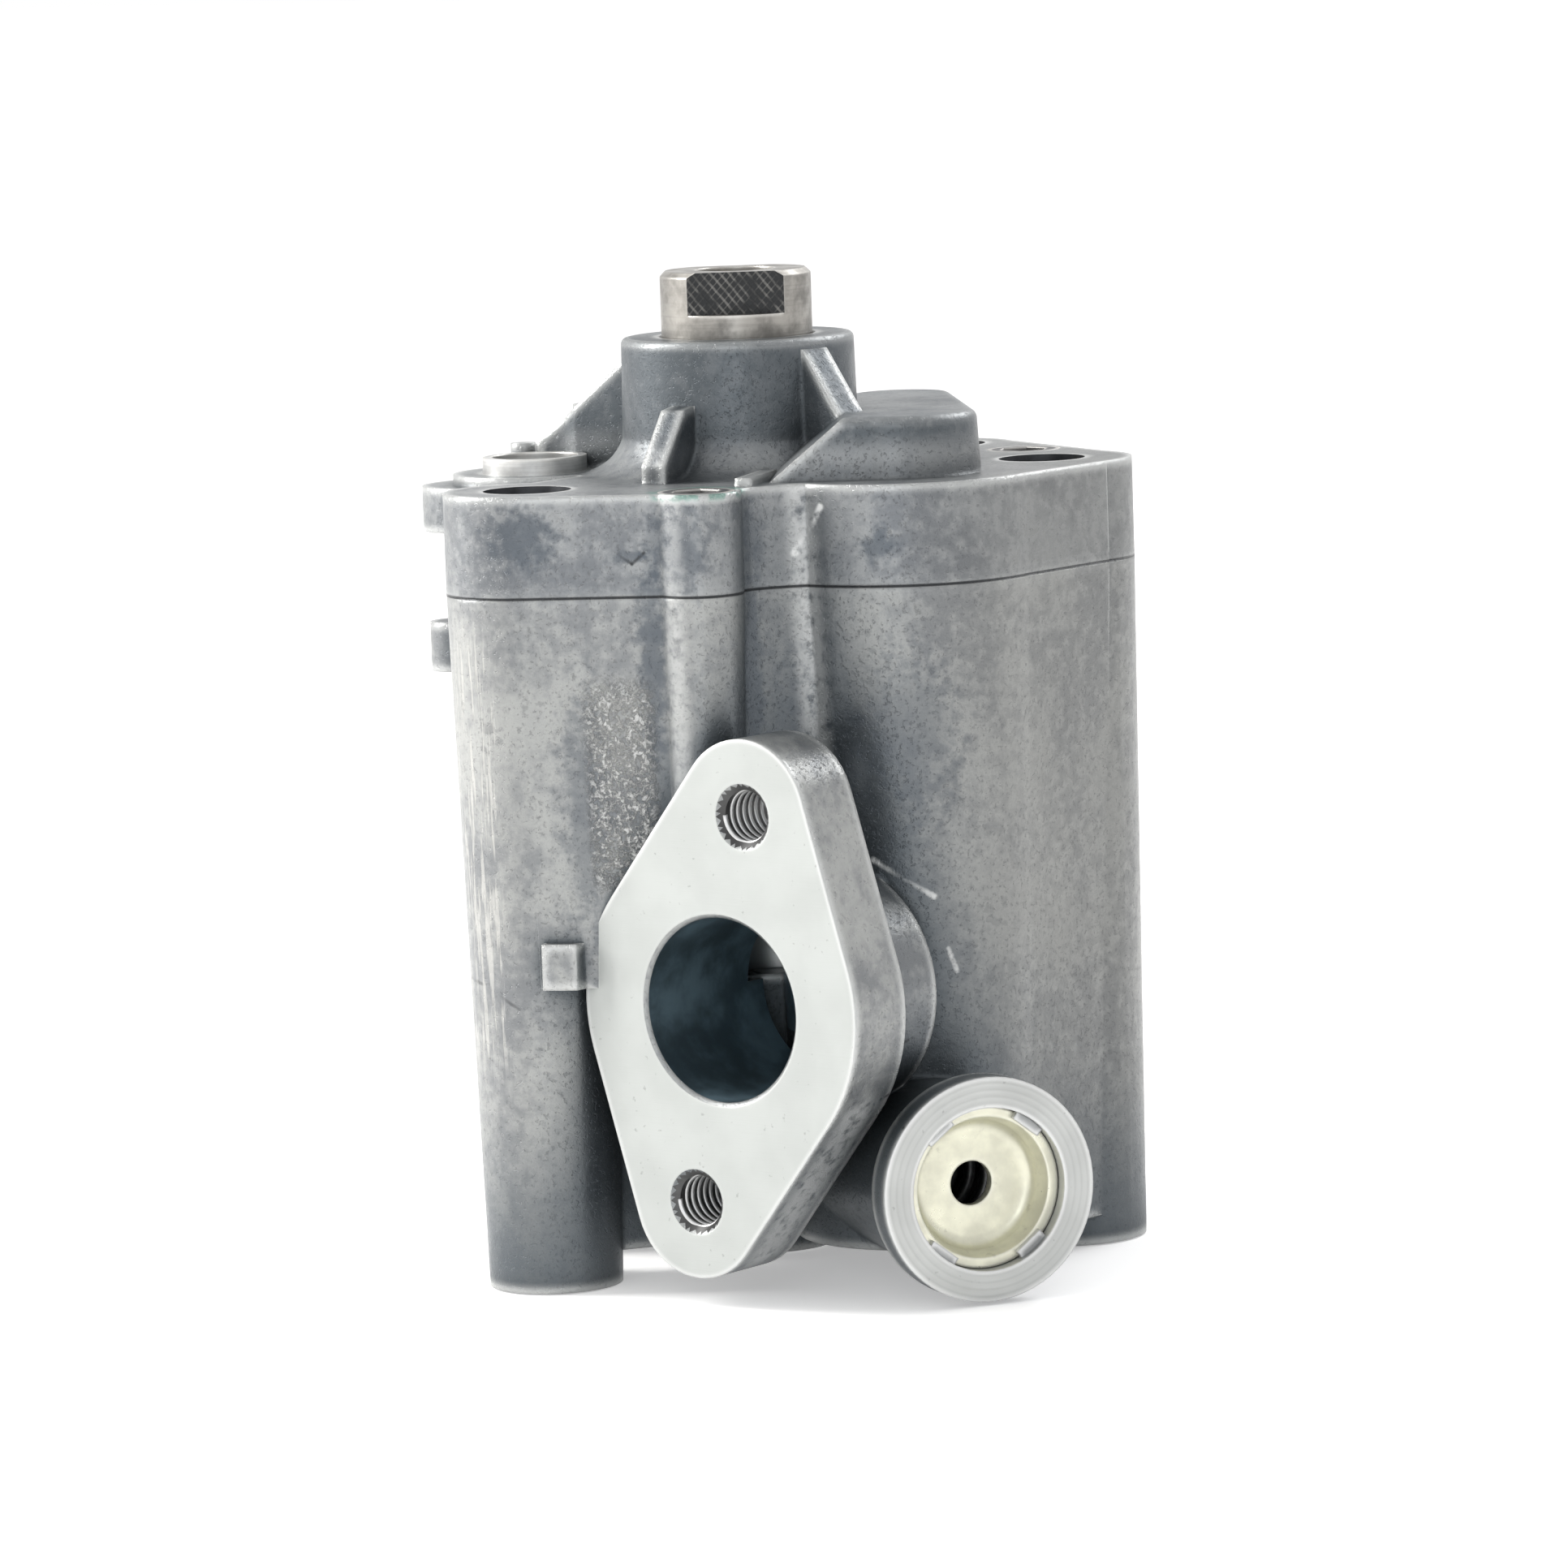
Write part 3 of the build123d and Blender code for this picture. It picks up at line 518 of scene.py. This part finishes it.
# %% [markdown]
# ## Steel parts
#
# The shaft end is turned, ground and a little oily: smooth round the journal, ringed on its end, and its
# flat shows diagonal hatching from the cutter. Zinc plate on the spring cup is a pale warm yellow. Gears,
# key and screws are dark hardened steel, the bushes a bronze-toned bearing layer.

# %% Steel and plating
GROUND_EDGE = 0.00035


def steel(name, colour, rough=0.32, metal=0.95, centre=(0.0, 0.0), ring=0.9, dark=0.5):
    """Turned or ground steel, cloudy, with fine rings about an upright axis through its centre."""
    material, tree, shader, point = new_material(name)
    mm = scaled(point, 1 / MM)
    away, along = shade_off_axis(mm, (*centre, 0.0), UPRIGHT)
    soft = noise(mm, 0.3, 4.0, 0.6)
    turned = noise(mm, 0.25, 3.0, 0.6, stretch=(0.3, 0.3, 12.0))
    rings = (away * (ring * 2 * pi)).math("SINE")
    shaded = soft.ramp(0.3, 0.72).mix(colour, darker(colour, dark))
    shaded = (turned.ramp(0.45, 0.7) * 0.3).mix(shaded, darker(colour, 0.45))
    # Convex edges painted bright: partly wear, partly a painted highlight
    shaded = (worn_and_highlit_edges(point, GROUND_EDGE) * 0.55).mix(shaded, (0.82, 0.80, 0.76))
    gloss = soft.ramp(0.3, 0.7, rough, rough + 0.14)
    dent = bump(turned * 0.6 + rings * 0.25, 0.3, 0.00005, rounded_edges(point, GROUND_EDGE))
    connect(tree, shader, Base_Color=shaded, Roughness=gloss, Metallic=metal, Normal=dent)
    return material


def hatched(name):
    """The milled flat of the shaft end, with crossing diagonal cutter marks."""
    material, tree, shader, point = new_material(name)
    mm = scaled(point, 1 / MM)
    x, y, z = xyz(mm)
    across = to_the_right(x, y)
    wobble = noise(mm, 0.5, 3.0, 0.6) * 1.6
    falling = ((across + z * 0.8) * 5.2 + wobble).math("SINE")
    rising = ((across - z * 0.9) * 6.1 + wobble).math("SINE")
    marks = falling.ramp(0.1, 0.95) * 0.75 + rising.ramp(0.55, 1.0) * 0.4
    worn = noise(mm, 0.35, 4.0, 0.6).ramp(0.35, 0.65)
    shaded = (marks * worn).mix((0.018, 0.019, 0.020), (0.17, 0.165, 0.155))
    dent = bump(marks, 0.5, 0.00008)
    connect(tree, shader, Base_Color=shaded, Roughness=0.42, Metallic=0.5, Normal=dent)
    return material


def plated(name):
    """Pale yellow zinc plate, cloudy and a little rubbed."""
    material, tree, shader, point = new_material(name)
    mm = scaled(point, 1 / MM)
    cloud = noise(mm, 0.25, 4.0, 0.6)
    shaded = cloud.ramp(0.35, 0.7).mix((0.75, 0.74, 0.60), (0.64, 0.63, 0.52))
    shaded = (noise(mm, 0.6).ramp(0.62, 0.72) * 0.4).mix(shaded, (0.40, 0.39, 0.33))
    # Convex edges painted bright: partly wear, partly a painted highlight
    shaded = (worn_and_highlit_edges(point, CUT_EDGE) * 0.4).mix(shaded, (0.88, 0.87, 0.78))
    gloss = cloud.ramp(0.3, 0.7, 0.26, 0.40)
    dent = bump(cloud, 0.3, 0.0001, rounded_edges(point, CUT_EDGE))
    connect(tree, shader, Base_Color=shaded, Roughness=gloss, Metallic=0.65, Normal=dent)
    return material


shaft_steel = steel("turned_shaft_steel", (0.36, 0.345, 0.32))
shaft_flat = hatched("hatched_shaft_flat")
gear_steel = steel("hardened_gear_steel", (0.30, 0.29, 0.28), rough=0.36)
idler_steel = steel("ground_idler_steel", (0.40, 0.39, 0.37), centre=(IDLER_X, 0.0))
bush_metal = steel("bearing_bush_metal", (0.50, 0.40, 0.27), rough=0.38)
sleeve_steel = steel("bright_sleeve_steel", (0.66, 0.66, 0.65), centre=SLEEVE, ring=2.0, dark=0.75)
screw_steel = steel("black_screw_steel", (0.16, 0.16, 0.165), rough=0.4, centre=FRONT_SCREW)
spring_steel = steel("spring_wire_steel", (0.14, 0.14, 0.145), rough=0.34)
zinc = plated("yellow_zinc_plate")
print("Materials so far:", len(bpy.data.materials))

# %% [markdown]
# ## Giving the solids their surfaces
#
# One node can carry several finishes: the body is cast outside, milled on the flange, turned on the relief
# collar, drilled in its holes. Each face of the mesh is tested by where it lies, and takes the first finish
# whose test holds. Splitting the node by hand would give the same picture, but not from these few rules.

# %% Finishes by place
# How far from its axis each hole or face still reaches, and how deep, in millimetres
PORT_REACH, PORT_DEPTH = 12.2, 60.0
THREAD_REACH = 4.0
BOLT_REACH = 5.9
CHAMBER_REACH, CHAMBER_FLOOR = 15.6, 30.0
COLLAR_REACH = 14.8
MOUTH_REACH, MOUTH_DEPTH = 10.8, 50.0
OUTLET_REACH, OUTLET_DEPTH, OUTLET_FACE_REACH = 10.8, 26.0, 14.2
FLAT_FOOT = 125.4
CLOSE = 0.1


def dress(node, finishes):
    """Gives a CAD node its materials; each entry is a material and a test of a face's centre and normal."""
    mesh = nodes[node].data
    mesh.materials.clear()
    for material, test in finishes:
        mesh.materials.append(material)
    for face in mesh.polygons:
        centre = face.center * (1 / MM)
        for index, (material, test) in enumerate(finishes):
            if test is None or test(centre, face.normal):
                face.material_index = index
                break


def in_suction_port(c, n):
    away, along = off_axis(c, FLANGE, FLANGE_OUT)
    return away < PORT_REACH and -PORT_DEPTH < along < -0.4


def in_thread(c, n):
    near = any(off_axis(c, place, FLANGE_OUT)[0] < THREAD_REACH for place in THREADS)
    return near and c.y < -28.0 and abs(n.y) < 0.9


def in_bolt_hole(c, n):
    near = any((c.x - x) ** 2 + (c.y - y) ** 2 < BOLT_REACH ** 2 for x, y in BOLTS)
    return near and abs(n.z) < 0.5


def in_chamber(c, n):
    over_gears = min(c.xy.length, (c.xy - Vector((IDLER_X, 0.0))).length) < CHAMBER_REACH
    return over_gears and CHAMBER_FLOOR < c.z < COVER_Z - CLOSE


def on_flange_face(c, n):
    return n.y < -0.99 and abs(c.y - FLANGE.y) < 0.05


def on_collar_end(c, n):
    away, along = off_axis(c, RELIEF_END, RELIEF_WAY)
    return away < COLLAR_REACH and along > -CLOSE


def in_relief_mouth(c, n):
    away, along = off_axis(c, RELIEF_END, RELIEF_WAY)
    return away < MOUTH_REACH and along > -MOUTH_DEPTH


def in_outlet(c, n):
    away, along = off_axis(c, OUTLET, OUTLET_WAY)
    return (away < OUTLET_REACH and along > -OUTLET_DEPTH) or (away < OUTLET_FACE_REACH and along > -CLOSE)


def on_joint_or_foot(c, n):
    return abs(n.z) > 0.99 and (c.z < 0.05 or abs(c.z - JOINT_Z) < 0.05)


def on_shaft_flat(c, n):
    across = c.x * FLAT_WAY.x + c.y * FLAT_WAY.y
    return c.z > FLAT_FOOT and abs(n.z) < 0.1 and abs(abs(across) - FLAT_HALF) < CLOSE


FINISHES = {
    "pump_body": [
        (port_wall, in_suction_port),
        (thread_wall, in_thread),
        (hole_wall, in_bolt_hole),
        (collar_cut, on_collar_end),
        (plain_cut, in_relief_mouth),
        (flange_cut, on_flange_face),
        (plain_cut, in_outlet),
        (plain_cut, in_chamber),
        (plain_cut, on_joint_or_foot),
        (cast, None),
    ],
    "pump_cover": [
        (hole_wall, in_bolt_hole),
        (plain_cut, in_chamber),
        (plain_cut, on_joint_or_foot),
        (cast_cover, None),
    ],
    "drive_shaft": [(shaft_flat, on_shaft_flat), (shaft_steel, None)],
}
ONE_FINISH = {
    "drive_gear": gear_steel,
    "drive_key": gear_steel,
    "drive_gear_ring": spring_steel,
    "idler_gear": gear_steel,
    "idler_shaft": idler_steel,
    "drive_bush_upper": bush_metal,
    "drive_bush_lower": bush_metal,
    "idler_bush_upper": bush_metal,
    "idler_bush_lower": bush_metal,
    "locating_sleeve": sleeve_steel,
    "cover_pins": gear_steel,
    "cover_screws": screw_steel,
    "gallery_plug": plain_cut,
    "relief_piston": idler_steel,
    "relief_spring": spring_steel,
    "relief_shim": zinc,
    "relief_spring_cup": zinc,
}
for name, finishes in FINISHES.items():
    dress(name, finishes)
for name, material in ONE_FINISH.items():
    dress(name, [(material, None)])
print("Dressed", len(FINISHES) + len(ONE_FINISH), "of", len(nodes), "solids")

# %% [markdown]
# ## One tree for threads and the relief spring
#
# A thread and a coil spring are the same thing, a wire on a helix, so one Geometry Nodes tree makes both: a
# spiral curve with a round profile swept along it. The Screw modifier could make either, but not with
# inputs that say what a reader wants to know: turns, radius, height and wire. The result is kept as a plain
# mesh and laid along its axis.

# %% Helix tree
HELIX_INPUTS = {
    "Turns": "Float",
    "Radius": "Float",
    "Height": "Float",
    "Wire": "Float",
    "Sides": "Int",
    "Finish": "Material",
}
STEPS_PER_TURN = 36


def helix_tree():
    """Geometry Nodes: a wire on a helix about Z."""
    tree = bpy.data.node_groups.new("wire_on_a_helix", "GeometryNodeTree")
    tree.interface.new_socket("Geometry", in_out="OUTPUT", socket_type="NodeSocketGeometry")
    for name, kind in HELIX_INPUTS.items():
        tree.interface.new_socket(name, in_out="INPUT", socket_type="NodeSocket" + kind)
    given = tree.nodes.new("NodeGroupInput")
    spiral = tree.nodes.new("GeometryNodeCurveSpiral")
    spiral.inputs["Resolution"].default_value = STEPS_PER_TURN
    profile = tree.nodes.new("GeometryNodeCurvePrimitiveCircle")
    sweep = tree.nodes.new("GeometryNodeCurveToMesh")
    sweep.inputs["Fill Caps"].default_value = True
    smooth = tree.nodes.new("GeometryNodeSetShadeSmooth")
    real = tree.nodes.new("GeometryNodeRealizeInstances")
    finish = tree.nodes.new("GeometryNodeSetMaterial")
    result = tree.nodes.new("NodeGroupOutput")
    for source, output, target, socket in (
        (given, "Turns", spiral, "Rotations"),
        (given, "Radius", spiral, "Start Radius"),
        (given, "Radius", spiral, "End Radius"),
        (given, "Height", spiral, "Height"),
        (given, "Wire", profile, "Radius"),
        (given, "Sides", profile, "Resolution"),
        (spiral, "Curve", sweep, "Curve"),
        (profile, "Curve", sweep, "Profile Curve"),
        (sweep, "Mesh", smooth, "Geometry"),
        (smooth, "Geometry", real, "Geometry"),
        (real, "Geometry", finish, "Geometry"),
        (given, "Finish", finish, "Material"),
        (finish, "Geometry", result, "Geometry"),
    ):
        tree.links.new(source.outputs[output], target.inputs[socket])
    return tree


def made_by(tree, name, place, **values):
    """Runs a Geometry Nodes tree with these inputs, and keeps the result as a plain mesh in its place."""
    holder = bpy.data.objects.new(name + "_maker", bpy.data.meshes.new(name + "_maker"))
    bpy.context.scene.collection.objects.link(holder)
    modifier = holder.modifiers.new("nodes", "NODES")
    modifier.node_group = tree
    for item in tree.interface.items_tree:
        if item.in_out == "INPUT" and item.name in values:
            modifier[item.identifier] = values[item.name]
    ready = holder.evaluated_get(bpy.context.evaluated_depsgraph_get())
    mesh = bpy.data.meshes.new_from_object(ready)
    bpy.data.objects.remove(holder)
    mesh.transform(place)
    mesh.name = name
    face_outwards(mesh)
    piece = bpy.data.objects.new(name, mesh)
    bpy.context.scene.collection.objects.link(piece)
    print("Made", name, "with", len(mesh.polygons), "faces")
    return piece


def face_outwards(mesh):
    """Turns every face of a closed mesh to point out."""
    work = bmesh.new()
    work.from_mesh(mesh)
    bmesh.ops.recalc_face_normals(work, faces=work.faces)
    work.to_mesh(mesh)
    work.free()


def along_axis(origin, way):
    """Matrix that lays the Z axis along a direction, from an origin in millimetres."""
    return Matrix.Translation(Vector(origin) * MM) @ Vector(way).to_track_quat("Z", "Y").to_matrix().to_4x4()


helix = helix_tree()

# %% [markdown]
# ## Threads in the flange
#
# The intake pipe bolts to the flange with two screws in tapped holes. Of a thread in a hole only the crests
# show, so a thin ridge on the wall of each core hole is enough, at the coarse pitch of the screw size. It
# starts at the bottom of the hole and ends just under the face.

# %% Flange threads
THREAD_PITCH = 1.25
THREAD_TURNS = 7.5
THREAD_DEPTH = 10.3
CREST_RADIUS = 3.52
CREST_WIRE = 0.36
for name, place in zip(("upper_flange_thread", "lower_flange_thread"), THREADS):
    thread = made_by(
        helix,
        name,
        along_axis(place - FLANGE_OUT * THREAD_DEPTH, FLANGE_OUT),
        Turns=THREAD_TURNS,
        Radius=CREST_RADIUS * MM,
        Height=THREAD_TURNS * THREAD_PITCH * MM,
        Wire=CREST_WIRE * MM,
        Sides=6,
        Finish=plain_cut,
    )
    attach(thread, "housing")

# %% [markdown]
# ## The relief spring
#
# A spring of round wire presses the relief piston back until the oil pressure moves it. The solid of it is
# a coarse stand-in, so a smooth coil takes its place. It sits still at the cup's end.

# %% Relief spring
SPRING_FROM, SPRING_TO = 9.0, 46.1
SPRING_TURNS = 7.0
SPRING_RADIUS = 5.9
SPRING_WIRE = 0.88
coil = made_by(
    helix,
    "relief_coil",
    along_axis(RELIEF_END - RELIEF_WAY * SPRING_TO, RELIEF_WAY),
    Turns=SPRING_TURNS,
    Radius=SPRING_RADIUS * MM,
    Height=(SPRING_TO - SPRING_FROM) * MM,
    Wire=SPRING_WIRE * MM,
    Sides=12,
    Finish=spring_steel,
)
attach(coil, "housing")
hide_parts("relief_spring")
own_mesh(coil)

# %% [markdown]
# ## Floor
#
# The pump stands on a pale floor that runs out to white and keeps its shadow. A white floor under these
# lamps would still render grey far away, so it also glows a little, but only for rays that show the
# backdrop: to the camera, in a reflection or through glass. The light on the pump stays as the lamps give
# it.

# %% Floor
FLOOR_HALF = 6.0
FLOOR_Z = -0.0002


def backdrop_rays(tree):
    """1 for the rays that show the white backdrop: to the camera, in a reflection or through glass."""
    camera_ray = Sock(tree).node("ShaderNodeLightPath", "Is Camera Ray")
    glossy, through = camera_ray.also("Is Glossy Ray"), camera_ray.also("Is Transmission Ray")
    return camera_ray.math("MAXIMUM", glossy).math("MAXIMUM", through)


def flat_floor(name, half, z):
    """A square floor with a pale, softly glowing material."""
    mesh = bpy.data.meshes.new(name)
    corners = [(-half, -half, z), (half, -half, z), (half, half, z), (-half, half, z)]
    mesh.from_pydata(corners, [], [(0, 1, 2, 3)])
    floor = bpy.data.objects.new(name, mesh)
    bpy.context.scene.collection.objects.link(floor)
    material, tree, shader, point = new_material("pale_floor")
    tone = noise(point, 3.0, 2.0, 0.5).ramp(0.3, 0.7).mix((0.90, 0.90, 0.90), (0.92, 0.92, 0.92))
    glow = backdrop_rays(tree).mix((0.0, 0.0, 0.0), (1.0, 1.0, 1.0))
    connect(tree, shader, Base_Color=tone, Roughness=0.9, Emission_Color=glow, Emission_Strength=0.36)
    mesh.materials.append(material)
    return floor


flat_floor("floor", FLOOR_HALF, FLOOR_Z)
print("Floor of", 2 * FLOOR_HALF, "m")

# %% [markdown]
# ## Light
#
# A large soft light from the left and above, a weak one from the right and one from behind keep the metal
# readable: bright on the left of each form, darker and cooler on the right. The room itself is bright on
# the left and above and darker to the right, while the backdrop that the camera sees is plain white.

# %% Light
LAMPS_AIM = Vector((0.0, 0.0, 0.06))
# Name, place, size, power in watts and colour
LAMPS = [
    ("key_light", (-0.80, -0.45, 0.60), (0.35, 0.8), 13.0, (1.0, 0.985, 0.96)),
    ("fill_light", (0.55, -0.95, 0.30), (0.5, 0.8), 1.6, (0.92, 0.96, 1.0)),
    ("back_light", (0.15, 0.80, 0.75), (0.7, 0.4), 5.0, (1.0, 1.0, 1.0)),
]
ROOM_LIGHT_FROM = (-0.70, -0.35, 0.62)
ROOM_DARK, ROOM_BRIGHT = (0.11, 0.125, 0.16), (0.95, 0.94, 0.92)

for name, place, size, power, colour in LAMPS:
    data = bpy.data.lights.new(name, "AREA")
    data.shape = "RECTANGLE"
    data.size, data.size_y = size
    data.energy = power
    data.color = colour
    lamp = bpy.data.objects.new(name, data)
    lamp.location = place
    lamp.rotation_euler = (LAMPS_AIM - Vector(place)).to_track_quat("-Z", "Y").to_euler()
    bpy.context.scene.collection.objects.link(lamp)

world = bpy.data.worlds.new("studio")
world.use_nodes = True
tree = world.node_tree
way = Sock(tree).node("ShaderNodeTexCoord", "Generated")
room = vector_math("DOT_PRODUCT", way, ROOM_LIGHT_FROM, 1).ramp(-0.75, 0.85).mix(ROOM_DARK, ROOM_BRIGHT)
shown = backdrop_rays(tree).mix(room, (1.0, 1.0, 1.0))
tree.links.new(shown.socket, tree.nodes["Background"].inputs["Color"])
bpy.context.scene.world = world
print("Lamps:", [row[0] for row in LAMPS])

# %% [markdown]
# ## Camera
#
# The camera stands well back with a long lens, so that upright edges stay nearly parallel, a little above
# the pump, turned round it to show the flange and the relief tube, and rolled slightly. It is built from
# three directions, right, up and ahead, which say more than three angles would.

# %% Camera
VIEW_PITCH = radians(7.1)
VIEW_ROLL = radians(1.95)
VIEW_DISTANCE = 1.033
VIEW_TARGET_RIGHT = 0.0042
VIEW_TARGET_HEIGHT = 0.062
LENS = 177.02
SENSOR = 36.0
right = Vector((*ACROSS, 0.0)).normalized()
ahead = (Vector((-right.y, right.x, 0.0)) * cos(VIEW_PITCH) - Vector((0, 0, sin(VIEW_PITCH)))).normalized()
upward = right.cross(ahead)
target = right * VIEW_TARGET_RIGHT + Vector((0, 0, VIEW_TARGET_HEIGHT))
turned_right = right * cos(VIEW_ROLL) - upward * sin(VIEW_ROLL)
turned_up = right * sin(VIEW_ROLL) + upward * cos(VIEW_ROLL)
camera_data = bpy.data.cameras.new("camera")
camera_data.lens = LENS
camera_data.sensor_width = SENSOR
camera_data.clip_start = 0.05
camera_data.clip_end = 50.0
camera = bpy.data.objects.new("camera", camera_data)
bpy.context.scene.collection.objects.link(camera)
turn = Matrix((turned_right, turned_up, -ahead)).transposed().to_4x4()
camera.matrix_world = Matrix.Translation(target - ahead * VIEW_DISTANCE) @ turn
bpy.context.scene.camera = camera
bpy.context.scene.view_settings.view_transform = "Standard"
print("Camera at", tuple(round(v, 3) for v in camera.matrix_world.translation))
